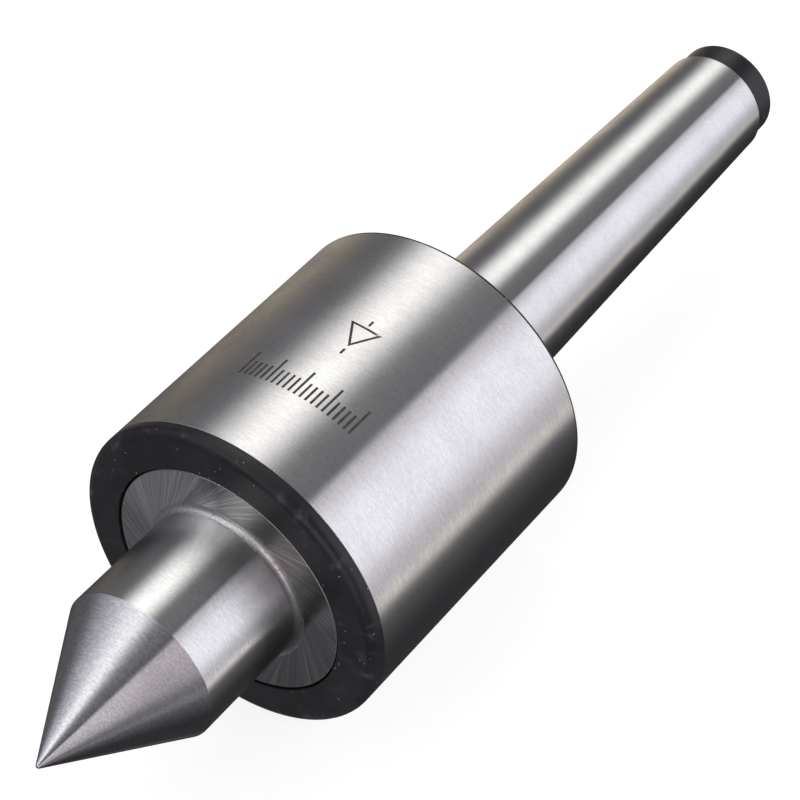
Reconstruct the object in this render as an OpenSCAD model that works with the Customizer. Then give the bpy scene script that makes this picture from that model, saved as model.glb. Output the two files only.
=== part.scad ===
// Live center with a Morse taper shank, as an assembly of its separate pieces.
// Every piece is turned about the X axis: the point is toward -X, the shank toward +X.
// The origin is on the axis, at the gauge plane of the Morse taper. Sizes are in millimetres.

/* [Housing] */
// Outside diameter of the housing
housing_d = 41; // [41:0.5:46]
// Length of the ground barrel, from the cap's rim to the rear face
housing_len = 39; // [39:0.5:48]
// Edge break at the rear rim of the barrel
housing_edge = 0.35; // [0.2:0.05:0.8]

/* [Taper shank] */
// Diameter at the gauge plane (17.780 is Morse taper 2)
gauge_d = 17.78; // [17.6:0.01:18]
// Change of diameter per millimetre of length (Morse taper 2)
taper_rate = 0.04995; // [0.048:0.00005:0.052]
// Distance from the gauge plane forward to the housing's rear face
gauge_to_housing = 5; // [4:0.5:8]
// Length from the gauge plane to the end of the tail
shank_len = 64; // [62:0.5:72]
// Length of the plain tail behind the ground taper
tail_len = 4; // [3:0.5:6]
// Diameter of the plain tail
tail_d = 13.8; // [12.5:0.1:14]

/* [Point] */
// Diameter of the point's cylinder
point_d = 20; // [18:0.5:22]
// Included angle of the cone
point_angle = 60; // [60:5:90]
// Length from the flange's face to the sharp apex of the cone
point_reach = 32.6; // [30:0.1:40]
// Radius of the rounded tip
tip_r = 0.35; // [0.2:0.05:0.6]
// Diameter of the flange disc that turns in the cap
flange_d = 30.6; // [29:0.1:30.6]
// Radius of the fillet between the cylinder and the flange
fillet_r = 0.8; // [0.5:0.1:1.8]
// Depth of the flange's face below the cap's face
flange_recess = 0.2; // [0:0.1:1]

/* [Front cap] */
// Thickness of the cap's rim in front of the barrel
cap_rim = 2; // [1.8:0.1:4]
// Radius of the cap's rounded front edge
cap_round = 1.3; // [0.5:0.1:1.5]
// Radial gap between the flange disc and the cap
flange_gap = 0.2; // [0.1:0.05:0.4]

/* [Bearings] */
// Number of balls in the front bearing
front_ball_count = 10; // [6:1:10]
// Number of balls in the thrust bearing
thrust_ball_count = 12; // [8:1:12]
// Number of needles in the rear bearing
needle_count = 12; // [8:1:14]
// Gap between a rolling element and its raceways
roll_gap = 0.04; // [0.02:0.01:0.06]

/* [Hidden] */
$fn = 96;

// Radial gap of a seated fit between two pieces that don't turn on each other
seat_gap = 0.01;
// Small overlap that keeps cuts clean
eps = 0.5;

// Front deep groove ball bearing, 17 x 35 x 10
front_bore_r = 8.5;
front_outer_r = 17.5;
front_width = 10;
front_ball_r = 2.381;
front_pitch_r = 13;
inner_land_r = 11.4;
outer_land_r = 14.6;
ring_break = 0.4;
shield_seat_r = 15.2;
shield_depth = 0.9;
shield_t = 0.35;
shield_bore_r = 11.8;
shield_lip = 0.8;

// Ribbon cage of the front bearing
ribbon_t = 0.5;
ribbon_inner_r = 12.1;
ribbon_outer_r = 13.9;
rivet_r = 0.4;
rivet_head_r = 0.7;
rivet_head_t = 0.3;

// Thrust ball bearing, 15 x 28 x 9
thrust_bore_r = 7.5;
thrust_outer_r = 14;
thrust_height = 9;
thrust_ball_r = 2.381;
thrust_pitch_r = 10.75;
thrust_washer_t = 2.75;
housing_washer_bore_r = 8;
shaft_washer_outer_r = 13.85;
thrust_cage_inner_r = 7.9;
thrust_cage_outer_r = 13.6;
thrust_cage_t = 1.8;

// Rear needle bearing, 10 x 14 x 10
needle_shaft_r = 5;
needle_cup_r = 7;
needle_cup_len = 10;
needle_cup_t = 0.5;
needle_lip_r = 5.4;
needle_len = 7.6;
needle_cage_inner_r = 5.25;
needle_cage_outer_r = 6.25;
needle_cage_gap = 0.1;
needle_pocket_gap = 0.05;
needle_r = (needle_cup_r - needle_cup_t - needle_shaft_r) / 2 - roll_gap;
needle_pitch_r = (needle_cup_r - needle_cup_t + needle_shaft_r) / 2;

// Retaining ring for a 17 mm shaft
ring_t = 1;
ring_groove_w = 1.1;
ring_groove_r = 8.1;
ring_band = 1.9;
ring_offset = 0.35;
ring_mouth_angle = 34;
ring_lug_r = 1.35;
ring_lug_pitch_r = 10.9;
ring_lug_hole_r = 0.85;

// Threaded skirt of the cap and the seal's groove in it
skirt_len = 4;
skirt_r = 18.5;
thread_runout = 0.5;
seal_groove_x = 2.4;
seal_w = 1.5;
seal_depth = 1.2;
seal_gap = 0.06;

// Preload disc spring
spring_t = 0.4;
spring_height = 1;
spring_outer_r = 17.2;
spring_inner_r = 14.8;

// Spindle and bore details
flange_t = 4.8;
flange_edge = 0.15;
shoulder_r = 10.8;
point_edge = 0.1;
thrust_bore_relief_r = 14.4;
washer_seat_len = 3.1;
bore_relief_r = 8.3;
bore_relief_len = 1.2;
journal_end_gap = 0.7;
drill_r = 5.8;
drill_angle = 118;

// Tail end: chamfer down from the taper, rounded edge and centre hole
tail_chamfer = 0.35;
tail_round = 0.8;
centre_mouth_r = 3.2;
centre_drill_r = 1.6;
centre_drill_len = 3;
centre_angle = 60;

// Places along the axis, from the front to the tail
housing_r = housing_d / 2;
x_rear = -gauge_to_housing;
x_front = x_rear - housing_len;
x_cap = x_front - cap_rim;
x_flange = x_cap + flange_recess;
x_apex = x_flange - point_reach;
cone_len = point_d / 2 / tan(point_angle / 2);
x_cone_base = x_apex + cone_len;
x_bearing = x_front + skirt_len;
x_front_balls = x_bearing + front_width / 2;
x_bearing_end = x_bearing + front_width;
x_spring_end = x_bearing_end + spring_height;
x_groove_end = x_bearing_end + ring_groove_w;
x_thrust = x_bearing_end + 2.5;
x_thrust_end = x_thrust + thrust_height;
x_thrust_balls = x_thrust + thrust_height / 2;
x_cup = x_thrust_end + bore_relief_len;
x_cup_end = x_cup + needle_cup_len;
x_needles = (x_cup + x_cup_end) / 2;
x_bore_end = x_cup_end + 1;
x_taper_end = shank_len - tail_len;

function taper_r(x) = (gauge_d - taper_rate * x) / 2;

// A solid turned about the X axis from 2D shapes drawn as [radius, place along X]
module turn() {
    rotate([0, 90, 0])
        rotate_extrude()
            children();
}

// A 2D outline given as [place along X, radius] points
module outline(points) {
    polygon([for (p = points) [p[1], p[0]]]);
}

// A 2D band between two places and two radii
module band(x0, x1, r0, r1) {
    translate([r0, x0])
        square([r1 - r0, x1 - x0]);
}

// Copies of a piece round the X axis
module ring_of(count, start = 0) {
    for (i = [0:count - 1])
        rotate([start + i * 360 / count, 0, 0])
            children();
}

module housing_outside() {
    outline([
        [x_front, 0],
        [x_front, housing_r],
        [x_rear - housing_edge, housing_r],
        [x_rear, housing_r - housing_edge],
        [x_rear, taper_r(x_rear)],
        [x_taper_end - tail_chamfer, taper_r(x_taper_end)],
        [x_taper_end, tail_d / 2],
        [shank_len - tail_round, tail_d / 2],
        [shank_len - tail_round, 0]
    ]);
    translate([tail_d / 2 - tail_round, shank_len - tail_round])
        circle(r = tail_round);
    band(shank_len - tail_round, shank_len, 0, tail_d / 2 - tail_round);
}

module housing_bores() {
    drill_len = drill_r / tan(drill_angle / 2);
    outline([
        [x_front - eps, 0],
        [x_front - eps, skirt_r],
        [x_bearing + thread_runout, skirt_r],
        [x_bearing + thread_runout, front_outer_r],
        [x_spring_end, front_outer_r],
        [x_spring_end, thrust_bore_relief_r],
        [x_thrust_end - washer_seat_len, thrust_bore_relief_r],
        [x_thrust_end - washer_seat_len, thrust_outer_r],
        [x_thrust_end, thrust_outer_r],
        [x_thrust_end, bore_relief_r],
        [x_cup, bore_relief_r],
        [x_cup, needle_cup_r],
        [x_bore_end, needle_cup_r],
        [x_bore_end, drill_r],
        [x_bore_end + drill_len, 0]
    ]);
}

module centre_hole() {
    mouth_len = (centre_mouth_r - centre_drill_r) / tan(centre_angle / 2);
    x_drill = shank_len - mouth_len - centre_drill_len;
    tip_len = centre_drill_r / tan(drill_angle / 2);
    outline([
        [x_drill - tip_len, 0],
        [x_drill, centre_drill_r],
        [shank_len - mouth_len, centre_drill_r],
        [shank_len, centre_mouth_r],
        [shank_len + eps, centre_mouth_r],
        [shank_len + eps, 0]
    ]);
}

module housing() {
    color("silver")
        turn()
            difference() {
                housing_outside();
                housing_bores();
                centre_hole();
            }
}

module front_cap() {
    color([0.13, 0.13, 0.15])
        turn()
            difference() {
                union() {
                    band(x_cap, x_front, 0, housing_r - cap_round);
                    band(x_cap + cap_round, x_front, 0, housing_r);
                    intersection() {
                        translate([housing_r - cap_round, x_cap + cap_round])
                            circle(r = cap_round);
                        band(x_cap, x_cap + cap_round, 0, housing_r);
                    }
                    band(x_front, x_bearing, 0, skirt_r - seat_gap);
                }
                band(x_cap - eps, x_bearing + eps, -eps, flange_d / 2 + flange_gap);
                band(x_cap + seal_groove_x, x_cap + seal_groove_x + seal_w, 0, seal_outer_r());
            }
}

function seal_outer_r() = flange_d / 2 + flange_gap + seal_depth;

module dust_seal() {
    color("dimgray")
        turn()
            band(x_cap + seal_groove_x, x_cap + seal_groove_x + seal_w,
                flange_d / 2 + seal_gap, seal_outer_r());
}

// Torus groove that the front balls run in
module front_race() {
    translate([front_pitch_r, x_front_balls])
        circle(r = front_ball_r + roll_gap);
}

module front_outer_ring() {
    r = front_outer_r - seat_gap;
    color("lightsteelblue")
        turn()
            difference() {
                outline([
                    [x_bearing, shield_seat_r],
                    [x_bearing, r - ring_break],
                    [x_bearing + ring_break, r],
                    [x_bearing_end - ring_break, r],
                    [x_bearing_end, r - ring_break],
                    [x_bearing_end, shield_seat_r],
                    [x_bearing_end - shield_depth, shield_seat_r],
                    [x_bearing_end - shield_depth, outer_land_r],
                    [x_bearing + shield_depth, outer_land_r],
                    [x_bearing + shield_depth, shield_seat_r]
                ]);
                front_race();
            }
}

module front_inner_ring() {
    r = front_bore_r + seat_gap;
    color("lightsteelblue")
        turn()
            difference() {
                outline([
                    [x_bearing, r + ring_break],
                    [x_bearing, inner_land_r],
                    [x_bearing_end, inner_land_r],
                    [x_bearing_end, r + ring_break],
                    [x_bearing_end - ring_break, r],
                    [x_bearing + ring_break, r]
                ]);
                front_race();
            }
}

// Pressed shield: a flat disc seated in the outer ring, with its bore turned in toward the balls.
// side is 1 for the front shield and -1 for the rear one.
module shield(side) {
    x_seat = x_front_balls - side * (front_width / 2 - shield_depth);
    x_face = x_seat - side * shield_t;
    color("gainsboro")
        turn()
            outline([
                [x_seat, shield_seat_r - seat_gap],
                [x_face, shield_seat_r - seat_gap],
                [x_face, shield_bore_r + shield_lip],
                [x_face + side * shield_lip / 2, shield_bore_r],
                [x_seat + side * shield_lip / 2, shield_bore_r],
                [x_seat, shield_bore_r + shield_lip]
            ]);
}

module front_shield() {
    shield(1);
}

module rear_shield() {
    shield(-1);
}

// One half of the ribbon cage: a flat ring at the balls' mid plane that bulges round each ball.
// side is 1 for the half nearer the point and -1 for the other.
module ribbon_half(side) {
    pocket_r = front_ball_r + roll_gap;
    shell_r = pocket_r + ribbon_t;
    color("darkgray")
        difference() {
            intersection() {
                union() {
                    turn()
                        band(x_front_balls - max(side, 0) * ribbon_t,
                            x_front_balls + max(-side, 0) * ribbon_t,
                            ribbon_inner_r, ribbon_outer_r);
                    ring_of(front_ball_count)
                        translate([x_front_balls, 0, front_pitch_r])
                            sphere(r = shell_r);
                }
                turn()
                    band(x_front_balls - max(side, 0) * shell_r,
                        x_front_balls + max(-side, 0) * shell_r,
                        ribbon_inner_r, ribbon_outer_r);
            }
            ring_of(front_ball_count)
                translate([x_front_balls, 0, front_pitch_r])
                    sphere(r = pocket_r);
            ring_of(front_ball_count, 180 / front_ball_count)
                rivet_shank();
        }
}

module rivet_shank() {
    translate([x_front_balls - ribbon_t, 0, front_pitch_r])
        rotate([0, 90, 0])
            cylinder(h = 2 * ribbon_t, r = rivet_r);
}

module front_cage_near() {
    ribbon_half(1);
}

module front_cage_far() {
    ribbon_half(-1);
}

module front_cage_rivets() {
    color("gray")
        ring_of(front_ball_count, 180 / front_ball_count) {
            rivet_shank();
            for (side = [-1, 1])
                translate([x_front_balls + side * (ribbon_t + rivet_head_t / 2), 0, front_pitch_r])
                    rotate([0, 90, 0])
                        cylinder(h = rivet_head_t, r = rivet_head_r, center = true);
        }
}

module front_balls() {
    color("white")
        ring_of(front_ball_count)
            translate([x_front_balls, 0, front_pitch_r])
                sphere(r = front_ball_r);
}

module preload_spring() {
    color("slategray")
        turn()
            outline([
                [x_bearing_end, spring_outer_r],
                [x_bearing_end + spring_t, spring_outer_r],
                [x_spring_end, spring_inner_r],
                [x_spring_end - spring_t, spring_inner_r]
            ]);
}

// Open ring that snaps into the spindle's groove, with two lugs for the pliers
module retaining_ring() {
    outer_r = ring_groove_r + ring_band;
    color("dimgray")
        translate([x_bearing_end, 0, 0])
            rotate([0, 90, 0])
                linear_extrude(ring_t)
                    difference() {
                        union() {
                            difference() {
                                translate([-ring_offset, 0])
                                    circle(r = outer_r - ring_offset);
                                ring_mouth(outer_r + eps);
                            }
                            for (side = [-1, 1])
                                rotate(side * ring_mouth_angle / 2)
                                    translate([ring_lug_pitch_r - ring_lug_r, 0])
                                        circle(r = ring_lug_r);
                        }
                        circle(r = ring_groove_r);
                        for (side = [-1, 1])
                            rotate(side * ring_mouth_angle / 2)
                                translate([ring_lug_pitch_r - ring_lug_r, 0])
                                    circle(r = ring_lug_hole_r);
                    }
}

module ring_mouth(reach) {
    half_w = reach * tan(ring_mouth_angle / 2);
    polygon([[0, 0], [reach, -half_w], [reach, half_w]]);
}

// Torus groove that the thrust balls run in
module thrust_race() {
    translate([thrust_pitch_r, x_thrust_balls])
        circle(r = thrust_ball_r + roll_gap);
}

module thrust_shaft_washer() {
    color("lightsteelblue")
        turn()
            difference() {
                band(x_thrust, x_thrust + thrust_washer_t, thrust_bore_r + seat_gap,
                    shaft_washer_outer_r);
                thrust_race();
            }
}

module thrust_housing_washer() {
    color("lightsteelblue")
        turn()
            difference() {
                band(x_thrust_end - thrust_washer_t, x_thrust_end, housing_washer_bore_r,
                    thrust_outer_r - seat_gap);
                thrust_race();
            }
}

module thrust_cage() {
    color("goldenrod")
        difference() {
            turn()
                band(x_thrust_balls - thrust_cage_t / 2, x_thrust_balls + thrust_cage_t / 2,
                    thrust_cage_inner_r, thrust_cage_outer_r);
            ring_of(thrust_ball_count)
                translate([x_thrust_balls, 0, thrust_pitch_r])
                    rotate([0, 90, 0])
                        cylinder(h = thrust_cage_t + 2 * eps, r = thrust_ball_r + roll_gap, center = true);
        }
}

module thrust_balls() {
    color("white")
        ring_of(thrust_ball_count)
            translate([x_thrust_balls, 0, thrust_pitch_r])
                sphere(r = thrust_ball_r);
}

module needle_cup() {
    color("lightsteelblue")
        turn()
            difference() {
                band(x_cup, x_cup_end, needle_lip_r, needle_cup_r - seat_gap);
                band(x_cup + needle_cup_t, x_cup_end - needle_cup_t, 0, needle_cup_r - needle_cup_t);
            }
}

module needle_cage() {
    cage_len = needle_cup_len - 2 * (needle_cup_t + needle_cage_gap);
    color("darkgray")
        difference() {
            turn()
                band(x_needles - cage_len / 2, x_needles + cage_len / 2,
                    needle_cage_inner_r, needle_cage_outer_r);
            ring_of(needle_count)
                needle_shape(needle_len + 2 * needle_pocket_gap, needle_r + needle_pocket_gap);
        }
}

module needles() {
    color("white")
        ring_of(needle_count)
            needle_shape(needle_len, needle_r);
}

module needle_shape(len, r) {
    translate([x_needles, 0, needle_pitch_r])
        rotate([0, 90, 0])
            cylinder(h = len, r = r, center = true);
}

// Cone, cylinder, fillet, flange and the stepped spindle behind it
module center_point() {
    x_tip_centre = x_apex + tip_r / sin(point_angle / 2);
    x_tangent = x_tip_centre - tip_r * sin(point_angle / 2);
    tangent_r = tip_r * cos(point_angle / 2);
    x_journal_end = x_bore_end - journal_end_gap;
    color("gainsboro")
        turn() {
            outline([
                [x_tangent, 0],
                [x_tangent, tangent_r],
                [x_cone_base - point_edge / tan(point_angle / 2), point_d / 2 - point_edge],
                [x_cone_base + point_edge, point_d / 2],
                [x_flange, point_d / 2],
                [x_flange, flange_d / 2 - flange_edge],
                [x_flange + flange_edge, flange_d / 2],
                [x_flange + flange_t, flange_d / 2],
                [x_flange + flange_t, shoulder_r],
                [x_bearing, shoulder_r],
                [x_bearing, front_bore_r],
                [x_bearing_end, front_bore_r],
                [x_bearing_end, ring_groove_r],
                [x_groove_end, ring_groove_r],
                [x_groove_end, front_bore_r],
                [x_thrust, front_bore_r],
                [x_thrust, thrust_bore_r],
                [x_thrust_end + journal_end_gap, thrust_bore_r],
                [x_thrust_end + journal_end_gap, needle_shaft_r],
                [x_journal_end - flange_edge, needle_shaft_r],
                [x_journal_end, needle_shaft_r - flange_edge],
                [x_journal_end, 0]
            ]);
            intersection() {
                translate([0, x_tip_centre])
                    circle(r = tip_r);
                band(x_apex, x_tip_centre, 0, tip_r);
            }
            difference() {
                band(x_flange - fillet_r, x_flange, point_d / 2, point_d / 2 + fillet_r);
                translate([point_d / 2 + fillet_r, x_flange - fillet_r])
                    circle(r = fillet_r);
            }
        }
}

housing();
front_cap();
dust_seal();
front_outer_ring();
front_shield();
rear_shield();
preload_spring();
thrust_housing_washer();
needle_cup();
center_point();
front_inner_ring();
retaining_ring();
thrust_shaft_washer();
front_cage_near();
front_cage_far();
front_cage_rivets();
front_balls();
thrust_cage();
thrust_balls();
needle_cage();
needles();
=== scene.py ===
"""Live center on a No. 2 Morse taper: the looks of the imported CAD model.

Everything is in metres in the CAD frame. The part turns about the X axis, with its
point toward -X and its shank toward +X. Z is up, and the origin is at the gauge plane.
"""

import math

import bpy
from mathutils import Matrix, Vector


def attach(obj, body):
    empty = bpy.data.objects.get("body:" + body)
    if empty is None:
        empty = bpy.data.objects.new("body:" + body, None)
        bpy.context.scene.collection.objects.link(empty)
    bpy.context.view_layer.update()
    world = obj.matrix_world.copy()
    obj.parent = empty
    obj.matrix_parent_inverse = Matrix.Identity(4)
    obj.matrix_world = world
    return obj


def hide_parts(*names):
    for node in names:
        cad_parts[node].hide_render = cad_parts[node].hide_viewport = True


MM = 0.001

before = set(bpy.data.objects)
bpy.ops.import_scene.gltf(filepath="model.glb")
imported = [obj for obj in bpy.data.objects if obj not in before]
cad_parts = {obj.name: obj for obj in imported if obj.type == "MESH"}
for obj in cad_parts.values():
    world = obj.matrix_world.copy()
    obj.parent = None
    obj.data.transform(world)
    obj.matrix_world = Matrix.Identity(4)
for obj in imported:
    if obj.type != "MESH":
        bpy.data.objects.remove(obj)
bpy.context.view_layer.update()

# ---------------------------------------------------------------- sizes, in millimetres

HOUSING_R = 20.5
X_FRONT = -44.0
X_REAR = -5.0
HOUSING_EDGE = 0.35
BLACK_RIM = 0.2

TAPER_RATE = 0.04995
GAUGE_D = 17.78
X_TAPER_END = 60.0
X_TAIL = 64.0
TAIL_R = 6.9
TAIL_CHAMFER = 0.35
TAIL_ROUND = 0.8
REAR_CORNER = 0.3

X_CAP = -46.0
CAP_ROUND = 1.3
CAP_BORE_R = 15.5
CAP_SKIRT_R = 18.49
X_SKIRT_END = -40.0
SKIRT_ROUND = 0.3
SEAL_GROOVE = (-43.6, -42.1)
SEAL_GROOVE_R = 16.7

CONE_HALF_ANGLE = math.radians(30)
X_APEX = -78.4
TIP_R = 0.35
POINT_R = 10.0
X_CONE_BASE = X_APEX + POINT_R / math.tan(CONE_HALF_ANGLE)
X_FLANGE = -45.8
X_FLANGE_BACK = -41.0
FLANGE_R = 15.3
FILLET_R = 0.8
FILLET_LAP = 0.01
CONE_EDGE = 0.12
SHOULDER_ROUND = 0.2

# The housing's bores, from the front
MOUTH_R = 18.5
X_MOUTH_END = -39.5
BEARING_BORE_R = 17.5
X_BEARING_BORE_END = -29.0
THRUST_BORE_R = 14.4
X_THRUST_SEAT = -21.6
THRUST_SEAT_R = 14.0
X_THRUST_SEAT_END = -18.5
RELIEF_R = 8.3
X_NEEDLE_BORE = -17.3
NEEDLE_BORE_R = 7.0
X_BORE_END = -6.3
DRILL_R = 5.8
DRILL_TIP = math.radians(59)

# The spindle behind the flange, from the front
SHOULDER_R = 10.8
X_BEARING_SEAT = -40.0
BEARING_SEAT_R = 8.5
RING_GROOVE = (-30.0, -28.9)
RING_GROOVE_R = 8.1
X_THRUST_JOURNAL = -27.5
THRUST_JOURNAL_R = 7.5
X_NEEDLE_JOURNAL = -17.8
NEEDLE_JOURNAL_R = 5.0
X_SPINDLE_END = -7.0

# The centre hole in the tail
CENTRE_MOUTH_R = 3.2
CENTRE_DRILL_R = 1.6
CENTRE_SLOPE = math.radians(30)
CENTRE_DRILL_DEPTH = 3.0
CENTRE_EDGE = 0.08

FINE_EDGE = 0.06
SOFT_EDGE = 0.1
BEVEL = 0.15

# How finely outlines are turned: faces round the axis, and the largest step round a corner
SEGMENTS = 288
ARC_STEP = math.radians(9)

# Below this, in mm, a point is on the axis, or a run has no length
TINY = 1e-6


def taper_r(x):
    """Radius of the Morse taper at a place along the axis."""
    return (GAUGE_D - TAPER_RATE * x) / 2


# ---------------------------------------------------------------- turned meshes


def left_of(direction):
    return Vector((-direction.y, direction.x))


def corner_arc(before, here, after, rounding):
    """Where a corner's rounding starts and ends, and its centre, side, turn and direction in."""
    into, out = (here - before).normalized(), (after - here).normalized()
    turn = math.atan2(into.x * out.y - into.y * out.x, into.dot(out))
    trim = rounding * math.tan(abs(turn) / 2)
    start, end = here - into * trim, here + out * trim
    side = 1 if turn > 0 else -1
    centre = start + left_of(into) * rounding * side
    return start, end, (centre, side, turn, into)


def arc_strips(start, arc, finish):
    """The strips of one rounded corner."""
    centre, side, turn, into = arc
    steps = max(3, math.ceil(abs(turn) / ARC_STEP))
    ring = []
    for k in range(steps + 1):
        n = left_of(into)
        n.rotate(Matrix.Rotation(turn * k / steps, 2))
        ring.append((centre - n * side * (start - centre).length, n))
    return [(p, pn, q, qn, finish) for (p, pn), (q, qn) in zip(ring, ring[1:])]


def rounded(corners, closed):
    """The outline as strips (start, start normal, end, end normal, finish).

    A corner is (x, radius, finish of the run after it, rounding radius). The metal is
    on the right of the outline's direction, so its normal is turned to the left."""
    count = len(corners)
    strips, pieces = [], []
    for i, (x, r, finish, rounding) in enumerate(corners):
        here = Vector((x, r))
        before = Vector(corners[i - 1][:2]) if closed or i else None
        after = Vector(corners[(i + 1) % count][:2]) if closed or i < count - 1 else None
        if before is None or after is None or rounding == 0:
            pieces.append((here, here, None, finish))
        else:
            pieces.append((*corner_arc(before, here, after, rounding), finish))
    for i, (start, end, arc, finish) in enumerate(pieces):
        if arc:
            strips += arc_strips(start, arc, finish)
        if closed or i < count - 1:
            following = pieces[(i + 1) % count][0]
            if (following - end).length > TINY:
                n = left_of((following - end).normalized())
                strips.append((end, n, following, n, finish))
    return strips


def turn_points(points):
    """Vertices in metres, and for each point its ring of vertex numbers round the axis."""
    vertices, rings = [], []
    for p in points:
        if p.y < TINY:
            rings.append([len(vertices)] * SEGMENTS)
            vertices.append((p.x * MM, 0, 0))
            continue
        rings.append(list(range(len(vertices), len(vertices) + SEGMENTS)))
        for k in range(SEGMENTS):
            a = 2 * math.pi * k / SEGMENTS
            vertices.append((p.x * MM, p.y * math.cos(a) * MM, p.y * math.sin(a) * MM))
    return vertices, rings


def turned_normal(n, k):
    """An outline's normal, turned to place k round the axis."""
    a = 2 * math.pi * k / SEGMENTS
    return (n.x, n.y * math.cos(a), n.y * math.sin(a))


def turn_strip(strip, first, second):
    """The faces between two rings, and the normal of each corner of each face."""
    p, pn, q, qn, finish = strip
    faces, normals = [], []
    for k in range(SEGMENTS):
        m = (k + 1) % SEGMENTS
        if p.y < TINY:
            faces.append((first[0], second[m], second[k]))
            around = ((pn, k + 0.5), (qn, k + 1), (qn, k))
        elif q.y < TINY:
            faces.append((first[k], first[m], second[0]))
            around = ((pn, k), (pn, k + 1), (qn, k + 0.5))
        else:
            faces.append((first[k], first[m], second[m], second[k]))
            around = ((pn, k), (pn, k + 1), (qn, k + 1), (qn, k))
        normals += [turned_normal(n, place) for n, place in around]
    return faces, normals


def new_piece(name, data):
    """An object in the scene that holds the mesh or camera."""
    piece = bpy.data.objects.new(name, data)
    bpy.context.scene.collection.objects.link(piece)
    return piece


def turned(name, corners, finishes, closed=False):
    """A piece turned about the X axis from an outline in mm, with exact normals."""
    strips = rounded(corners, closed)
    points = [s[0] for s in strips] + ([] if closed else [strips[-1][2]])
    vertices, rings = turn_points(points)
    faces, normals, slots = [], [], []
    names = list(finishes)
    for i, strip in enumerate(strips):
        more, their_normals = turn_strip(strip, rings[i], rings[(i + 1) % len(rings)])
        faces += more
        normals += their_normals
        slots += [names.index(strip[-1])] * len(more)
    mesh = bpy.data.meshes.new(name)
    mesh.from_pydata(vertices, [], faces)
    for finish in names:
        mesh.materials.append(finishes[finish])
    mesh.polygons.foreach_set("material_index", slots)
    mesh.polygons.foreach_set("use_smooth", [True] * len(faces))
    mesh.normals_split_custom_set(normals)
    mesh.update()
    return new_piece(name, mesh)


# ---------------------------------------------------------------- node trees


class Nodes:
    """Short calls that add nodes to one tree. A value may be a socket or a constant."""

    def __init__(self, tree):
        self.tree = tree
        tree.nodes.clear()

    def add(self, kind, inputs=None, **settings):
        node = self.tree.nodes.new(kind)
        for key, value in settings.items():
            setattr(node, key, value)
        for key, value in (inputs or {}).items():
            self.feed(node.inputs[key], value)
        return node

    def feed(self, socket, value):
        if isinstance(value, bpy.types.NodeSocket):
            self.tree.links.new(value, socket)
        else:
            socket.default_value = value

    def math(self, operation, a, b=0.0, c=0.0):
        return self.add("ShaderNodeMath", {0: a, 1: b, 2: c}, operation=operation).outputs[0]

    def times(self, *values):
        """The product of all the values."""
        product = values[0]
        for value in values[1:]:
            product = self.math("MULTIPLY", product, value)
        return product

    def plus(self, *values):
        """The sum of all the values."""
        total = values[0]
        for value in values[1:]:
            total = self.math("ADD", total, value)
        return total

    def place(self):
        """The point's place in metres, in the frame of the CAD."""
        return self.add("ShaderNodeTexCoord").outputs["Object"]

    def vector(self, x, y, z):
        return self.add("ShaderNodeCombineXYZ", {0: x, 1: y, 2: z}).outputs[0]

    def noise(self, vector, scale=1.0, detail=2.0, roughness=0.5):
        inputs = {"Vector": vector, "Scale": scale, "Detail": detail, "Roughness": roughness}
        return self.add("ShaderNodeTexNoise", inputs).outputs["Fac"]

    def span(self, value, low, high, to_low=0.0, to_high=1.0, smooth=True):
        """value from low..high to to_low..to_high, clamped."""
        inputs = {"Value": value, "From Min": low, "From Max": high,
                  "To Min": to_low, "To Max": to_high}
        kind = "SMOOTHSTEP" if smooth else "LINEAR"
        node = self.add("ShaderNodeMapRange", inputs, interpolation_type=kind)
        return node.outputs[0]

    def mix(self, share, a, b, blend="MIX"):
        """Colour a going over to colour b. The colours are the node's inputs 6 and 7."""
        node = self.add("ShaderNodeMix", data_type="RGBA", blend_type=blend)
        for socket, value in ((0, share), (6, a), (7, b)):
            value = (*value, 1) if isinstance(value, tuple) and len(value) == 3 else value
            self.feed(node.inputs[socket], value)
        return node.outputs[2]

    def shaded(self, colour, shade):
        """The colour times the shade."""
        return self.mix(1.0, colour, self.vector(shade, shade, shade), "MULTIPLY")


def around_axis(n):
    """Place along the axis, distance from it, and cosine and sine of the angle about it."""
    x, y, z = n.add("ShaderNodeSeparateXYZ", {0: n.place()}).outputs
    radius = n.math("SQRT", n.plus(n.times(y, y), n.times(z, z)))
    radius = n.math("MAXIMUM", radius, 1e-5)
    return x, radius, n.math("DIVIDE", y, radius), n.math("DIVIDE", z, radius)


def streaks(n, along, cosine, sine, pitch, arcs, detail=2.0):
    """Noise drawn out round the axis: about pitch metres wide, and arcs of them to a turn."""
    turn = arcs / (2 * math.pi)
    place = n.vector(n.math("DIVIDE", along, pitch), n.times(cosine, turn), n.times(sine, turn))
    return n.noise(place, 1.0, detail)


def specks(n, cell, size, share, seed):
    """1 inside small scattered dots, 0 elsewhere: one cell in every 1 / share has a dot."""
    shift = (seed, seed, seed)
    moved = n.add("ShaderNodeVectorMath", {0: n.place(), 1: shift}, operation="ADD")
    node = n.add("ShaderNodeTexVoronoi", {"Vector": moved.outputs[0], "Scale": 1 / cell})
    near = n.span(node.outputs["Distance"], size, size * 0.6)
    pick = n.add("ShaderNodeSeparateColor", {0: node.outputs["Color"]}).outputs[0]
    return n.times(near, n.math("LESS_THAN", pick, share))


def window(n, value, start, full, full_end, end):
    """1 between full and full_end, falling softly to 0 at start and at end."""
    return n.times(n.span(value, start, full), n.span(value, end, full_end))


def degrees_about_axis(n, cosine, sine):
    """Angle about the X axis from +Y over +Z, 0 to 360 degrees."""
    back = n.math("ARCTAN2", n.times(sine, -1.0), n.times(cosine, -1.0))
    return n.math("MULTIPLY_ADD", back, math.degrees(1), 180.0)


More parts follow.
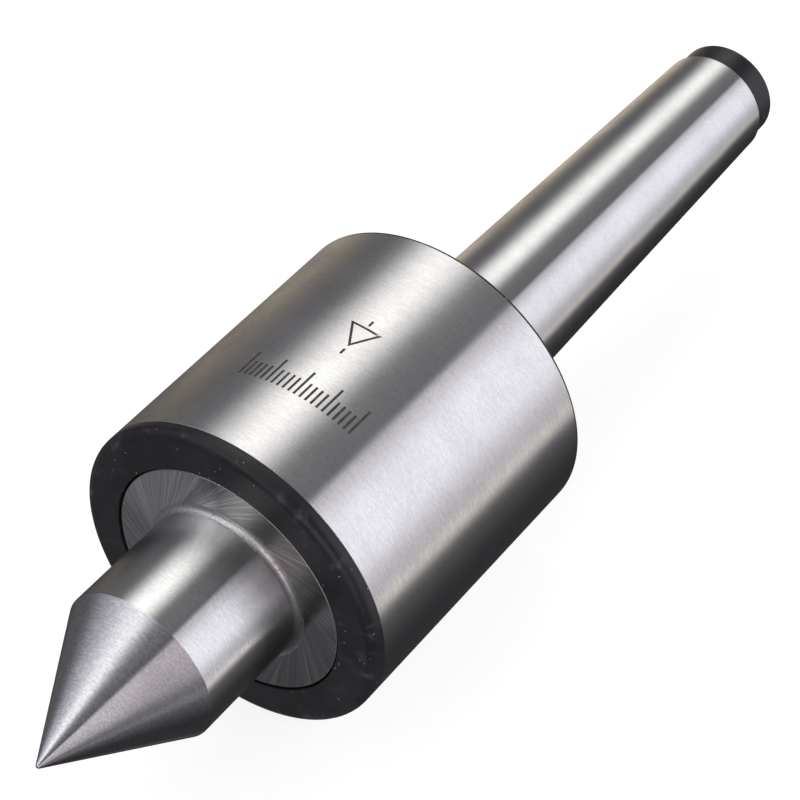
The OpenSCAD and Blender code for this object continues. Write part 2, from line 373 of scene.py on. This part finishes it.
def principled(n, inputs, height=None, depth=0.0, tangent=False):
    """Ends a material with a Principled shader, a bump of depth metres and a turned tangent."""
    shader = n.add("ShaderNodeBsdfPrincipled", inputs)
    if height is not None:
        bump = n.add("ShaderNodeBump", {"Strength": 1.0, "Distance": depth, "Height": height})
        n.feed(shader.inputs["Normal"], bump.outputs[0])
    if tangent:
        radial = n.add("ShaderNodeTangent", direction_type="RADIAL", axis="X")
        n.feed(shader.inputs["Tangent"], radial.outputs[0])
    n.add("ShaderNodeOutputMaterial", {"Surface": shader.outputs[0]})
    return shader


def new_material(name):
    material = bpy.data.materials.new(name)
    material.use_nodes = True
    return material, Nodes(material.node_tree)


# ---------------------------------------------------------------- materials

STEEL = (0.62, 0.61, 0.605)
LIGHT_SPECK = (0.86, 0.84, 0.80)
DARK_SPOT = (0.10, 0.09, 0.08)
RUST = (0.40, 0.24, 0.18)
SCUFF = (0.062, 0.058, 0.072)
DUST = (0.38, 0.37, 0.34)

# Turns the gloss so that it is wide across the grinding lines and narrow along them
ACROSS_GROOVES = 0.25

# The facing marks are straight lines, tangent to a circle of this radius in mm
LEAN_R = 9.5


def ground_steel(name, colour=STEEL, roughness=0.235, anisotropy=1.0, pitch=0.13, arcs=110,
                 contrast=0.14, depth=1.2e-6, grain=1.0):
    """Cylindrically ground steel: fine lines round the axis, a few specks and dull spots.

    The lines are pitch mm wide with arcs of them to a turn. Contrast is how much they darken
    the colour, and depth is the height of the bump in metres."""
    material, n = new_material(name)
    x, radius, cosine, sine = around_axis(n)
    fine = streaks(n, x, cosine, sine, pitch * MM, arcs, 3.0)
    broad = streaks(n, x, cosine, sine, 1.7 * MM, 7, 2.0)
    cloud = n.noise(n.place(), 140, 3.0)
    grit = n.noise(n.place(), 3600, 2.0)
    light = specks(n, 1.5 * MM, 0.055, 0.8, 3.7)
    dark = specks(n, 2.0 * MM, 0.030, 0.6, 9.1)
    shade = n.times(
        n.span(fine, 0.25, 0.75, 1 - contrast, 1.0, smooth=False),
        n.span(broad, 0.3, 0.7, 0.97, 1.0),
        n.span(grit, 0.3, 0.7, 1 - contrast * 0.6 * grain, 1.0),
    )
    tone = n.shaded(colour, shade)
    tone = n.mix(n.times(light, 0.55), tone, LIGHT_SPECK)
    tone = n.mix(n.times(dark, 0.8), tone, DARK_SPOT)
    rough = n.plus(
        n.span(cloud, 0.3, 0.7, roughness - 0.025, roughness + 0.025),
        n.span(fine, 0.3, 0.7, 0.03, 0.0),
        n.times(n.math("MAXIMUM", light, dark), 0.2),
    )
    height = n.plus(fine, n.times(grit, 0.5 * grain))
    shader = principled(
        n, {"Base Color": tone, "Roughness": rough, "Metallic": 1.0}, height, depth, True
    )
    shader.inputs["Anisotropic"].default_value = anisotropy
    shader.inputs["Anisotropic Rotation"].default_value = ACROSS_GROOVES
    return material


def rust_spot(n, tone):
    """Light rust where the point's cylinder meets its flange, on one side only."""
    x, radius, cosine, sine = around_axis(n)
    patch = n.noise(n.place(), 900, 3.0)
    sector = window(n, degrees_about_axis(n, cosine, sine), 120, 130, 137, 145)
    ring = window(n, radius, 10.02 * MM, 10.3 * MM, 10.8 * MM, 11.5 * MM)
    rust = n.times(sector, ring, n.span(patch, 0.42, 0.60))
    return n.mix(n.times(rust, 0.7), tone, RUST)


def fan(n, radius, angle, count, curl, detail):
    """Noise in about count spokes round the axis. With a curl of -1 they are straight lines,
    tangent to the circle of radius LEAN_R, and nearer to 0 they lean less."""
    lean = n.math("ARCCOSINE", n.math("MINIMUM", n.math("DIVIDE", LEAN_R * MM, radius), 1.0))
    turn = n.plus(angle, n.times(lean, curl))
    spokes = count / (2 * math.pi)
    place = n.vector(
        n.times(n.math("COSINE", turn), spokes),
        n.times(n.math("SINE", turn), spokes),
        n.times(radius, 70.0),
    )
    return n.noise(place, 1.0, detail)


def faced_steel():
    """The flange's face: straight marks of the facing wheel that lean across the ring.

    Painted light and shade: one sector round the axis is painted brighter and two sectors are
    painted darker."""
    material, n = new_material("faced_steel")
    x, radius, cosine, sine = around_axis(n)
    angle = n.math("ARCTAN2", sine, cosine)
    wide = fan(n, radius, angle, 30, -1.0, 2.0)
    thin = fan(n, radius, angle, 430, -1.1, 2.0)
    hair = fan(n, radius, angle, 620, -0.9, 1.0)
    shade = n.times(
        n.span(wide, 0.3, 0.7, 0.80, 1.0),
        n.span(thin, 0.3, 0.7, 0.56, 1.0),
        n.span(hair, 0.52, 0.72, 1.0, 1.8),
    )
    sector = degrees_about_axis(n, cosine, sine)
    # Painted light and shade: the shade is scaled by angle about the axis, brighter from 0 to 84
    # degrees and darker from 80 to 275 degrees.
    painted_sectors = ((0, 38, 72, 84, 1.50), (80, 90, 140, 165, 0.58), (166, 182, 250, 275, 0.62))
    for start, full, full_end, end, gain in painted_sectors:
        painted_sector = window(n, sector, start, full, full_end, end)
        shade = n.times(shade, n.span(painted_sector, 0, 1, 1.0, gain))
    tone = rust_spot(n, n.shaded((0.63, 0.63, 0.625), shade))
    rough = n.span(thin, 0.3, 0.7, 0.25, 0.18)
    shader = principled(
        n, {"Base Color": tone, "Roughness": rough, "Metallic": 1.0},
        n.plus(wide, thin, hair), 3e-6, True,
    )
    shader.inputs["Anisotropic"].default_value = 0.5
    return material


def rough_turned_steel():
    """Turned but not ground: coarser tool lines, a dull and grainy surface."""
    material, n = new_material("turned_steel")
    x, radius, cosine, sine = around_axis(n)
    lines = streaks(n, n.plus(x, radius), cosine, sine, 0.22 * MM, 9, 3.0)
    grit = n.noise(n.place(), 5200, 3.0)
    shade = n.times(n.span(lines, 0.3, 0.7, 0.84, 1.0), n.span(grit, 0.3, 0.7, 0.78, 1.0))
    tone = n.shaded((0.60, 0.59, 0.60), shade)
    rough = n.span(grit, 0.3, 0.7, 0.48, 0.36)
    height = n.plus(lines, n.times(grit, 0.6))
    principled(
        n, {"Base Color": tone, "Roughness": rough, "Metallic": 1.0}, height, 7e-6, True
    )
    return material


def fillet_steel():
    """Root of the point: unground and grainy, with painted shade that darkens one side."""
    material, n = new_material("fillet_steel")
    x, radius, cosine, sine = around_axis(n)
    lines = streaks(n, n.plus(x, radius), cosine, sine, 0.1 * MM, 60, 3.0)
    grit = n.noise(n.place(), 4200, 3.0, 0.65)
    pits = n.noise(n.place(), 2100, 2.0)
    cloud = n.noise(n.place(), 500, 3.0)
    # Painted shade: from 100 to 225 degrees about the axis the fillet is painted darker.
    side = window(n, degrees_about_axis(n, cosine, sine), 100, 150, 185, 225)
    film_and_painted_shade = n.times(side, n.span(cloud, 0.3, 0.6, 0.75, 1.0))
    shade = n.times(
        n.span(lines, 0.3, 0.7, 0.86, 1.0),
        n.span(grit, 0.3, 0.7, 0.70, 1.0),
        n.span(pits, 0.30, 0.40, 0.62, 1.0),
        n.span(film_and_painted_shade, 0, 1, 1.0, 0.70),
    )
    tone = rust_spot(n, n.shaded((0.66, 0.66, 0.665), shade))
    rough = n.span(grit, 0.3, 0.7, 0.48, 0.36)
    height = n.plus(lines, n.times(grit, 0.8))
    principled(
        n, {"Base Color": tone, "Roughness": rough, "Metallic": 1.0}, height, 5e-6, True
    )
    return material


def black_oxide():
    """Blackened steel: near black and slightly blue, semi matte, with dust and scuffed spots."""
    dark, light = (0.0100, 0.0098, 0.0112), (0.0150, 0.0147, 0.0168)
    material, n = new_material("black_oxide")
    x, radius, cosine, sine = around_axis(n)
    lines = streaks(n, n.plus(x, radius), cosine, sine, 0.2 * MM, 12, 3.0)
    cloud = n.noise(n.place(), 220, 4.0)
    grit = n.noise(n.place(), 2600, 3.0)
    smear = n.noise(n.place(), 420, 5.0, 0.65)
    dust = specks(n, 1.1 * MM, 0.09, 0.5, 5.3)
    edge = window(n, radius, 18.2 * MM, 19.6 * MM, 20.4 * MM, 20.52 * MM)
    tone = n.mix(n.span(cloud, 0.35, 0.65), dark, light)
    scuff = n.times(n.span(smear, 0.54, 0.70), n.span(edge, 0, 1, 0.25, 1.0))
    tone = n.mix(n.times(scuff, 0.6), tone, SCUFF)
    tone = n.mix(n.times(dust, 0.7), tone, DUST)
    rough = n.plus(n.span(cloud, 0.3, 0.7, 0.32, 0.44), n.span(grit, 0.3, 0.7, -0.03, 0.03))
    height = n.plus(n.times(lines, 0.4), grit)
    shader = principled(n, {"Base Color": tone, "Roughness": rough}, height, 5e-6)
    shader.inputs["Specular IOR Level"].default_value = 0.26
    return material


def etched_mark():
    """Laser etched line: matt, nearly black, browner where the beam was weaker."""
    material, n = new_material("etched_mark")
    patch = n.noise(n.place(), 900, 3.0)
    grit = n.noise(n.place(), 9000, 2.0)
    tone = n.mix(n.span(patch, 0.35, 0.65), (0.012, 0.011, 0.012), (0.055, 0.043, 0.033))
    rough = n.span(grit, 0.3, 0.7, 0.5, 0.75)
    principled(n, {"Base Color": tone, "Roughness": rough}, grit, 2e-6)
    return material


def bearing_steel():
    """Bearing rings and washers: finely ground, with a bluish hardened tone."""
    return ground_steel("bearing_steel", (0.58, 0.59, 0.61), 0.18, 0.6, 0.1, 30, 0.08, 6e-7)


def ball_steel():
    """Lapped balls and needles: close to a mirror, with a faint haze."""
    material, n = new_material("ball_steel")
    haze = n.noise(n.place(), 900, 3.0)
    lap = n.noise(n.place(), 7000, 2.0)
    tone = n.mix(n.span(haze, 0.3, 0.7), (0.60, 0.61, 0.63), (0.68, 0.68, 0.69))
    rough = n.span(haze, 0.3, 0.7, 0.05, 0.11)
    principled(n, {"Base Color": tone, "Roughness": rough, "Metallic": 1.0}, lap, 1e-7)
    return material


def pressed_steel(name, colour, roughness):
    """Pressed sheet steel: cages, shields and the needle cup."""
    material, n = new_material(name)
    flow = n.noise(n.place(), 420, 4.0)
    grain = n.noise(n.place(), 4200, 3.0)
    low = tuple(c * 0.86 for c in colour)
    tone = n.mix(n.span(flow, 0.3, 0.7), low, colour)
    rough = n.plus(
        n.span(flow, 0.3, 0.7, roughness - 0.06, roughness + 0.06),
        n.span(grain, 0.3, 0.7, -0.03, 0.03),
    )
    principled(n, {"Base Color": tone, "Roughness": rough, "Metallic": 1.0}, grain, 1.5e-6)
    return material


def spring_steel():
    """Phosphated spring steel: dark grey and matt, rubbed brighter on its high spots."""
    material, n = new_material("spring_steel")
    cloud = n.noise(n.place(), 500, 4.0)
    grit = n.noise(n.place(), 6000, 2.0)
    edge = n.add("ShaderNodeNewGeometry").outputs["Pointiness"]
    tone = n.mix(n.span(cloud, 0.35, 0.65), (0.045, 0.045, 0.05), (0.085, 0.085, 0.09))
    tone = n.mix(n.span(edge, 0.52, 0.6), tone, (0.28, 0.28, 0.29))
    rough = n.span(cloud, 0.3, 0.7, 0.38, 0.52)
    principled(n, {"Base Color": tone, "Roughness": rough, "Metallic": 0.7}, grit, 3e-6)
    return material


def cage_brass():
    """Machined brass cage: turned lines and a dull film in patches."""
    material, n = new_material("cage_brass")
    x, radius, cosine, sine = around_axis(n)
    lines = streaks(n, n.plus(x, radius), cosine, sine, 0.14 * MM, 8, 3.0)
    film_and_painted_shade = n.noise(n.place(), 350, 4.0)
    tone = n.mix(n.span(lines, 0.3, 0.7), (0.62, 0.44, 0.17), (0.76, 0.56, 0.25))
    tone = n.mix(n.span(film_and_painted_shade, 0.45, 0.7, 0.0, 0.5), tone, (0.42, 0.28, 0.12))
    rough = n.span(film_and_painted_shade, 0.3, 0.7, 0.24, 0.38)
    principled(
        n, {"Base Color": tone, "Roughness": rough, "Metallic": 1.0}, lines, 2e-6, True
    )
    return material


def felt():
    """Oiled felt dust seal: dark fibres, very matt."""
    material, n = new_material("felt")
    fibre = n.noise(n.place(), 5200, 5.0, 0.7)
    cloud = n.noise(n.place(), 600, 2.0)
    tone = n.mix(n.span(fibre, 0.35, 0.65), (0.010, 0.010, 0.010), (0.045, 0.042, 0.038))
    rough = n.span(cloud, 0.3, 0.7, 0.82, 0.95)
    shader = principled(n, {"Base Color": tone, "Roughness": rough}, fibre, 6e-5)
    shader.inputs["Sheen Weight"].default_value = 0.15
    return material


# ---------------------------------------------------------------- the three turned pieces


def make_housing(ground, shank, black, rough):
    """Barrel, rear face, Morse taper and tail, with the bores and the tail's centre hole."""
    x_mouth = X_TAIL - (CENTRE_MOUTH_R - CENTRE_DRILL_R) / math.tan(CENTRE_SLOPE)
    x_drill = x_mouth - CENTRE_DRILL_DEPTH
    x_black = X_REAR - HOUSING_EDGE
    corners = [
        (X_BORE_END + DRILL_R / math.tan(DRILL_TIP), 0, "rough", 0),
        (X_BORE_END, DRILL_R, "rough", 0),
        (X_BORE_END, NEEDLE_BORE_R, "rough", 0),
        (X_NEEDLE_BORE, NEEDLE_BORE_R, "rough", SOFT_EDGE),
        (X_NEEDLE_BORE, RELIEF_R, "rough", 0),
        (X_THRUST_SEAT_END, RELIEF_R, "rough", 0),
        (X_THRUST_SEAT_END, THRUST_SEAT_R, "rough", 0),
        (X_THRUST_SEAT, THRUST_SEAT_R, "rough", 0),
        (X_THRUST_SEAT, THRUST_BORE_R, "rough", 0),
        (X_BEARING_BORE_END, THRUST_BORE_R, "rough", 0),
        (X_BEARING_BORE_END, BEARING_BORE_R, "rough", 0),
        (X_MOUTH_END, BEARING_BORE_R, "rough", 0),
        (X_MOUTH_END, MOUTH_R, "rough", 0),
        (X_FRONT, MOUTH_R, "rough", SOFT_EDGE),
        (X_FRONT, HOUSING_R, "ground", FINE_EDGE),
        (x_black - BLACK_RIM, HOUSING_R, "black", 0),
        (x_black, HOUSING_R, "black", FINE_EDGE),
        (X_REAR, HOUSING_R - HOUSING_EDGE, "black", SOFT_EDGE),
        (X_REAR, taper_r(X_REAR), "shank", REAR_CORNER),
        (X_TAPER_END - TAIL_CHAMFER, taper_r(X_TAPER_END), "black", FINE_EDGE),
        (X_TAPER_END, TAIL_R, "black", BEVEL),
        (X_TAIL, TAIL_R, "black", TAIL_ROUND),
        (X_TAIL, CENTRE_MOUTH_R, "rough", CENTRE_EDGE),
        (x_mouth, CENTRE_DRILL_R, "rough", 0),
        (x_drill, CENTRE_DRILL_R, "rough", 0),
        (x_drill - CENTRE_DRILL_R / math.tan(DRILL_TIP), 0, "rough", 0),
    ]
    finishes = {"ground": ground, "shank": shank, "black": black, "rough": rough}
    piece = turned("housing_body", corners, finishes)
    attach(piece, "body")
    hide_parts("housing")


def make_cap(black):
    """Front cap: blackened, with a rounded front edge, a skirt and a groove for the seal."""
    groove_start, groove_end = SEAL_GROOVE
    corners = [
        (X_CAP, CAP_BORE_R, "black", BEVEL),
        (X_CAP, HOUSING_R, "black", CAP_ROUND),
        (X_FRONT, HOUSING_R, "black", FINE_EDGE),
        (X_FRONT, CAP_SKIRT_R, "black", SOFT_EDGE),
        (X_SKIRT_END, CAP_SKIRT_R, "black", SKIRT_ROUND),
        (X_SKIRT_END, CAP_BORE_R, "black", SOFT_EDGE),
        (groove_end, CAP_BORE_R, "black", 0),
        (groove_end, SEAL_GROOVE_R, "black", 0),
        (groove_start, SEAL_GROOVE_R, "black", 0),
        (groove_start, CAP_BORE_R, "black", 0),
    ]
    piece = turned("front_cap_ring", corners, {"black": black}, closed=True)
    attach(piece, "body")
    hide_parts("front_cap")


def make_point(cone, cylinder, fillet, face, rough):
    """Cone, cylinder, fillet, flange and the stepped spindle that runs in the bearings."""
    x_tip = X_APEX + TIP_R / math.sin(CONE_HALF_ANGLE) - TIP_R
    groove_start, groove_end = RING_GROOVE
    corners = [
        (x_tip, 0, "cone", 0),
        (x_tip, TIP_R * math.tan(CONE_HALF_ANGLE), "cone", TIP_R),
        (X_CONE_BASE, POINT_R, "cylinder", CONE_EDGE),
        (X_FLANGE - FILLET_R, POINT_R, "fillet", 0),
        (X_FLANGE, POINT_R, "fillet", FILLET_R),
        (X_FLANGE, POINT_R + FILLET_R + FILLET_LAP, "face", 0),
        (X_FLANGE, FLANGE_R, "rough", BEVEL),
        (X_FLANGE_BACK, FLANGE_R, "rough", BEVEL),
        (X_FLANGE_BACK, SHOULDER_R, "rough", SHOULDER_ROUND),
        (X_BEARING_SEAT, SHOULDER_R, "rough", SOFT_EDGE),
        (X_BEARING_SEAT, BEARING_SEAT_R, "cylinder", 0),
        (groove_start, BEARING_SEAT_R, "rough", 0),
        (groove_start, RING_GROOVE_R, "rough", 0),
        (groove_end, RING_GROOVE_R, "rough", 0),
        (groove_end, BEARING_SEAT_R, "rough", 0),
        (X_THRUST_JOURNAL, BEARING_SEAT_R, "rough", SOFT_EDGE),
        (X_THRUST_JOURNAL, THRUST_JOURNAL_R, "cylinder", 0),
        (X_NEEDLE_JOURNAL, THRUST_JOURNAL_R, "rough", BEVEL),
        (X_NEEDLE_JOURNAL, NEEDLE_JOURNAL_R, "cylinder", 0),
        (X_SPINDLE_END, NEEDLE_JOURNAL_R, "rough", BEVEL),
        (X_SPINDLE_END, 0, "rough", 0),
    ]
    finishes = {
        "cone": cone, "cylinder": cylinder, "fillet": fillet, "face": face, "rough": rough,
    }
    piece = turned("point_spindle", corners, finishes)
    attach(piece, "spindle")
    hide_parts("center_point")


# ---------------------------------------------------------------- plain marks on the barrel

# Height above the barrel, depth below it and width of a line, and how many steps it takes
MARK_PROUD = 0.004
MARK_DEPTH = 0.05
MARK_WIDTH = 0.3
MARK_STEPS = 6

# The row of ticks: place along the axis, lengths, angles about the axis and number
X_TICKS = -34.0
TICK_LONG = 4.0
TICK_SHORT = 2.4
TICKS_START = math.radians(71.5)
TICK_STEP = math.radians(2.15)
TICKS = 21
TICKS_TO_LONG = 5

# The cone's outline: angle about the axis, tip and base along it, and half the base
SYMBOL_MIDDLE = math.radians(94)
SYMBOL_TIP = -24.2
SYMBOL_BASE = -21.0
SYMBOL_HALF = 1.85
SYMBOL_DASHES = ((-20.5, -19.6), (-25.9, -25.0))


def on_barrel(x, arc, r):
    """A point on the barrel from its place along the axis and its arc length, in mm."""
    a = arc / HOUSING_R
    return (x * MM, r * math.cos(a) * MM, r * math.sin(a) * MM)


def slab(vertices, faces, left, right, closed):
    """A thin solid between two lines of (x, arc) points, sunk into the barrel's surface."""
    base, count = len(vertices), len(left)
    for a, b in zip(left, right):
        for x, arc in (a, b):
            vertices.append(on_barrel(x, arc, HOUSING_R + MARK_PROUD))
            vertices.append(on_barrel(x, arc, HOUSING_R - MARK_DEPTH))
    for i in range(count if closed else count - 1):
        p, q = base + 4 * i, base + 4 * ((i + 1) % count)
        faces += [(p, q, q + 2, p + 2), (p + 1, p + 3, q + 3, q + 1),
                  (p, p + 1, q + 1, q), (p + 2, q + 2, q + 3, p + 3)]
    if not closed:
        end = base + 4 * (count - 1)
        faces += [(base, base + 2, base + 3, base + 1), (end, end + 1, end + 3, end + 2)]


def stroke(vertices, faces, start, end, width):
    """A straight line on the barrel from start to end, each (x, arc) in mm."""
    start, end = Vector(start), Vector(end)
    side = left_of((end - start).normalized()) * width / 2
    places = [start.lerp(end, k / MARK_STEPS) for k in range(MARK_STEPS + 1)]
    slab(vertices, faces, [p + side for p in places], [p - side for p in places], False)


def loop(vertices, faces, corners, width):
    """A closed line of one width round the corners, each (x, arc) in mm, with mitred joints."""
    corners = [Vector(c) for c in corners]
    count = len(corners)
    left, right, mitres = [], [], []
    for i, c in enumerate(corners):
        into = left_of((c - corners[i - 1]).normalized())
        out = left_of((corners[(i + 1) % count] - c).normalized())
        normal = (into + out).normalized()
        mitres.append(normal * (width / 2) / normal.dot(into))
    for i, c in enumerate(corners):
        nxt, m = corners[(i + 1) % count], mitres[(i + 1) % count]
        for k in range(MARK_STEPS):
            t = k / MARK_STEPS
            left.append((c + mitres[i]).lerp(nxt + m, t))
            right.append((c - mitres[i]).lerp(nxt - m, t))
    slab(vertices, faces, left, right, True)


def mark_piece(name, vertices, faces, material):
    """A mark of one material that rides on the housing."""
    mesh = bpy.data.meshes.new(name)
    mesh.from_pydata(vertices, [], faces)
    mesh.materials.append(material)
    mesh.update()
    piece = new_piece(name, mesh)
    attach(piece, "body")


def make_graduations(material):
    """A plain row of ticks round the top of the barrel, every fifth one longer."""
    vertices, faces = [], []
    for k in range(TICKS):
        arc = (TICKS_START + k * TICK_STEP) * HOUSING_R
        length = TICK_LONG if k % TICKS_TO_LONG == 0 else TICK_SHORT
        stroke(vertices, faces, (X_TICKS, arc), (X_TICKS + length, arc), MARK_WIDTH)
    mark_piece("barrel_graduations", vertices, faces, material)


def make_symbol(material):
    """A plain outline of a cone on its centre line."""
    vertices, faces = [], []
    middle = SYMBOL_MIDDLE * HOUSING_R
    low, high = middle - SYMBOL_HALF, middle + SYMBOL_HALF
    outline = [(SYMBOL_TIP, middle), (SYMBOL_BASE, high), (SYMBOL_BASE, low)]
    loop(vertices, faces, outline, MARK_WIDTH)
    for x_start, x_end in SYMBOL_DASHES:
        stroke(vertices, faces, (x_start, middle), (x_end, middle), MARK_WIDTH)
    mark_piece("barrel_cone_symbol", vertices, faces, material)


# ---------------------------------------------------------------- studio


# Reaches along X for the soft boxes: start, full, full end and end of the direction's x
EVERYWHERE = (-3, -2, 2, 3)
SHANK_SIDE = (-0.15, 0.12, 2, 3)
CONE_SIDE = (-0.72, -0.52, -0.15, 0.12)
FAR_FRONT = (-3, -2, -0.72, -0.52)
NOT_FAR_FRONT = (-0.72, -0.52, 2, 3)

# Name, colour, edges in degrees about the X axis, and reach
BOXES = [
    ("room", (0.046, 0.046, 0.050), (-200, -190, 290, 300), EVERYWHERE),
    ("side wall", (1.15, 1.01, 0.81), (-62, -38, -28, 13), (0.43, 0.72, 2, 3)),
    ("side wall front", (0.105, 0.105, 0.112), (-92, -76, -12, 18), (-3, -2, 0.10, 0.38)),
    ("upper room", (0.125, 0.125, 0.135), (-8, 26, 200, 220), NOT_FAR_FRONT),
    ("ceiling", (0.085, 0.085, 0.085), (20, 100, 112, 126), NOT_FAR_FRONT),
    ("ceiling front", (0.10, 0.10, 0.095), (20, 98, 108, 122), CONE_SIDE),
    ("key box", (1.80, 1.80, 1.76), (34, 65, 69, 97), SHANK_SIDE),
    ("key box front", (0.12, 0.12, 0.06), (38, 65, 69, 94), CONE_SIDE),
    ("key box wing", (0.98, 0.98, 1.10), (-18, 66, 75, 107), CONE_SIDE),
    ("key box far front", (2.4, 2.4, 2.3), (32, 62, 69, 90), FAR_FRONT),
    ("broad box", (0.74, 0.73, 0.77), (120, 125, 202, 212), SHANK_SIDE),
    ("broad box centre", (0.72, 0.72, 0.81), (121, 147, 169, 193), SHANK_SIDE),
    ("broad box rear", (0.22, 0.22, 0.22), (200, 209, 214, 228), (0.66, 0.80, 2, 3)),
    ("broad box front", (0.05, 0.02, 0.04), (124, 130, 170, 204), CONE_SIDE),
    ("broad box far front", (2.00, 1.88, 1.95), (124, 131, 184, 208), FAR_FRONT),
    ("warm strip", (0.95, 0.86, 0.66), (200, 204, 209, 212), (0.38, 0.54, 0.62, 0.78)),
    ("low tail", (0.115, 0.115, 0.119), (196, 208, 208, 244), EVERYWHERE),
]
WHITE = (1.0, 1.0, 1.0)


def make_light():
    """Soft studio light: long soft boxes parallel to the part, set in a dim room.

    The angle is about the X axis, from +Y (0) over the top (90) to -Y (180). Four angles say
    where a box starts, is full, is still full and ends, and four more numbers say the same
    along X, from -1 in front of the point to 1 behind the shank."""
    world = bpy.data.worlds.new("studio")
    bpy.context.scene.world = world
    world.use_nodes = True
    n = Nodes(world.node_tree)
    direction = n.add("ShaderNodeTexCoord").outputs["Generated"]
    x, y, z = n.add("ShaderNodeSeparateXYZ", {0: direction}).outputs
    angle = n.times(n.math("ARCTAN2", z, y), math.degrees(1))
    angle = n.plus(angle, n.times(n.math("LESS_THAN", angle, -90.0), 360.0))
    total = None
    for name, colour, edges, reach in BOXES:
        level = n.times(window(n, angle, *edges), window(n, x, *reach))
        light = n.add("ShaderNodeVectorMath", {0: colour}, operation="SCALE", label=name)
        n.feed(light.inputs["Scale"], level)
        light = light.outputs[0]
        if total is not None:
            add = n.add("ShaderNodeVectorMath", {0: total, 1: light}, operation="ADD")
            light = add.outputs[0]
        total = light
    seen = n.add("ShaderNodeLightPath").outputs["Is Camera Ray"]
    background = n.add("ShaderNodeBackground", {"Color": n.mix(seen, total, WHITE)})
    n.add("ShaderNodeOutputWorld", {"Surface": background.outputs[0]})


def make_floor():
    """A plain pale floor that the housing lies on. It glows so that it stays pale."""
    half, glow, z = 2.0, 0.84, -HOUSING_R * MM
    mesh = bpy.data.meshes.new("floor")
    mesh.from_pydata(
        [(-half, -half, z), (half, -half, z), (half, half, z), (-half, half, z)],
        [], [(0, 1, 2, 3)],
    )
    material, n = new_material("floor_paper")
    fibre = n.noise(n.place(), 700, 3.0)
    tone = n.mix(n.span(fibre, 0.3, 0.7), (0.28, 0.28, 0.28), (0.30, 0.30, 0.30))
    shader = principled(n, {"Base Color": tone, "Roughness": 0.9})
    shader.inputs["Emission Color"].default_value = (*WHITE, 1)
    shader.inputs["Emission Strength"].default_value = glow
    mesh.materials.append(material)
    floor = new_piece("floor", mesh)
    floor.visible_glossy = False
    floor.visible_shadow = False


def make_camera():
    """The camera looks down on the point's side from the front left."""
    azimuth, elevation, distance = math.radians(-54.47), math.radians(44.34), 0.3192
    target = Vector((-0.0124, 0.00007, 0.00164))
    back = Vector((
        math.sin(azimuth) * math.cos(elevation),
        -math.cos(azimuth) * math.cos(elevation),
        math.sin(elevation),
    ))
    data = bpy.data.cameras.new("camera")
    data.sensor_width = 36
    data.lens = 121.1
    data.clip_start = 0.01
    camera = new_piece("camera", data)
    camera.location = target + back * distance
    camera.rotation_euler = (math.radians(90) - elevation, 0, azimuth)
    bpy.context.scene.camera = camera


# ---------------------------------------------------------------- the scene


def finish_cad_nodes():
    """Gives every CAD piece that stays its own finish."""
    uses = (
        (bearing_steel(), ("front_outer_ring", "front_inner_ring", "thrust_housing_washer",
                           "thrust_shaft_washer")),
        (ball_steel(), ("front_balls", "thrust_balls", "needles")),
        (pressed_steel("cage_steel", (0.52, 0.51, 0.50), 0.34),
         ("front_cage_near", "front_cage_far", "front_cage_rivets", "needle_cage",
          "needle_cup")),
        (pressed_steel("shield_steel", (0.58, 0.58, 0.59), 0.28),
         ("front_shield", "rear_shield")),
        (spring_steel(), ("preload_spring", "retaining_ring")),
        (cage_brass(), ("thrust_cage",)),
        (felt(), ("dust_seal",)),
    )
    for finish, nodes in uses:
        for node in nodes:
            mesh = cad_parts[node].data
            mesh.materials.clear()
            mesh.materials.append(finish)


black = black_oxide()
plain_turned = rough_turned_steel()
make_housing(
    ground_steel("ground_steel"),
    ground_steel("ground_shank", (0.55, 0.545, 0.54), 0.22, contrast=0.08, grain=0.4),
    black,
    plain_turned,
)
make_cap(black)
make_point(
    ground_steel("ground_cone", (0.69, 0.68, 0.69), 0.20, 1.0, 0.15, 45, 0.27, 0.35e-6),
    ground_steel("ground_point", (0.62, 0.615, 0.61), 0.20, 1.0, 0.13, 70, 0.12),
    fillet_steel(),
    faced_steel(),
    plain_turned,
)
etched = etched_mark()
make_graduations(etched)
make_symbol(etched)
finish_cad_nodes()

make_light()
make_floor()
make_camera()
bpy.context.scene.view_settings.view_transform = "Standard"
